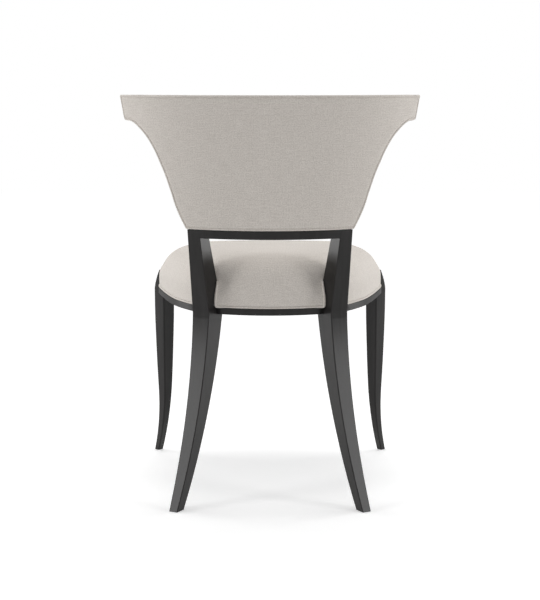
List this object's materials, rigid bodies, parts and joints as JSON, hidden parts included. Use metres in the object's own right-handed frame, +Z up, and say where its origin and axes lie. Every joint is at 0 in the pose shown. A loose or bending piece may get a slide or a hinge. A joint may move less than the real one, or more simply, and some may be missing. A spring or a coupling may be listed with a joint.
{
  "type": "klismos chair",
  "caption": "Dining chair with curved sabre legs, a charcoal-lacquered frame, a crowned upholstered seat and a bowed upholstered back whose wings flare at the top.",
  "frame": {"origin": "middle of the chair's box in plan, on the floor that the glides stand on", "axes": "+Z up, the sitter faces -Y, +X is the sitter's left"},
  "size_m": [0.6238, 0.567, 0.85],
  "materials": {
    "lacquered_wood": "charcoal satin lacquer",
    "linen": "fine greige linen weave",
    "beech": "plain sawn, unfinished",
    "foam": "open foam and wadding",
    "jute": "coarse woven tape",
    "cambric": "thin black cloth",
    "steel": "zinc plated",
    "nylon": "moulded, satin"
  },
  "bodies": {
    "root": {"rear_leg_left": "lacquered_wood", "rear_leg_right": "lacquered_wood", "front_leg_left": "lacquered_wood", "front_leg_right": "lacquered_wood", "seat_rail_rear": "lacquered_wood", "seat_rail_left": "lacquered_wood", "seat_rail_right": "lacquered_wood", "seat_rail_front": "lacquered_wood", "back_rail": "lacquered_wood", "corner_block_rear_left": "beech", "corner_block_rear_right": "beech", "corner_block_front_left": "beech", "corner_block_front_right": "beech", "block_screw_rear_left_1": "steel", "block_screw_rear_left_2": "steel", "block_screw_rear_right_1": "steel", "block_screw_rear_right_2": "steel", "block_screw_front_left_1": "steel", "block_screw_front_left_2": "steel", "block_screw_front_right_1": "steel", "block_screw_front_right_2": "steel", "glide_rear_left": "nylon", "glide_rear_right": "nylon", "glide_front_left": "nylon", "glide_front_right": "nylon", "webbing_cross_1": "jute", "webbing_cross_2": "jute", "webbing_cross_3": "jute", "webbing_cross_4": "jute", "webbing_long_1": "jute", "webbing_long_2": "jute", "webbing_long_3": "jute", "webbing_long_4": "jute", "seat_cover": "linen", "seat_foam": "foam", "seat_welt_rear": "linen", "seat_welt_front": "linen", "dust_cover": "cambric", "back_core": "beech", "back_wadding": "foam", "back_foam": "foam", "back_cover_rear": "linen", "back_cover_front": "linen", "back_welt_rear": "linen", "back_welt_front": "linen", "tongue_screw_left_1": "steel", "tongue_screw_left_2": "steel", "tongue_screw_left_3": "steel", "tongue_screw_right_1": "steel", "tongue_screw_right_2": "steel", "tongue_screw_right_3": "steel"}
  },
  "joints": []
}
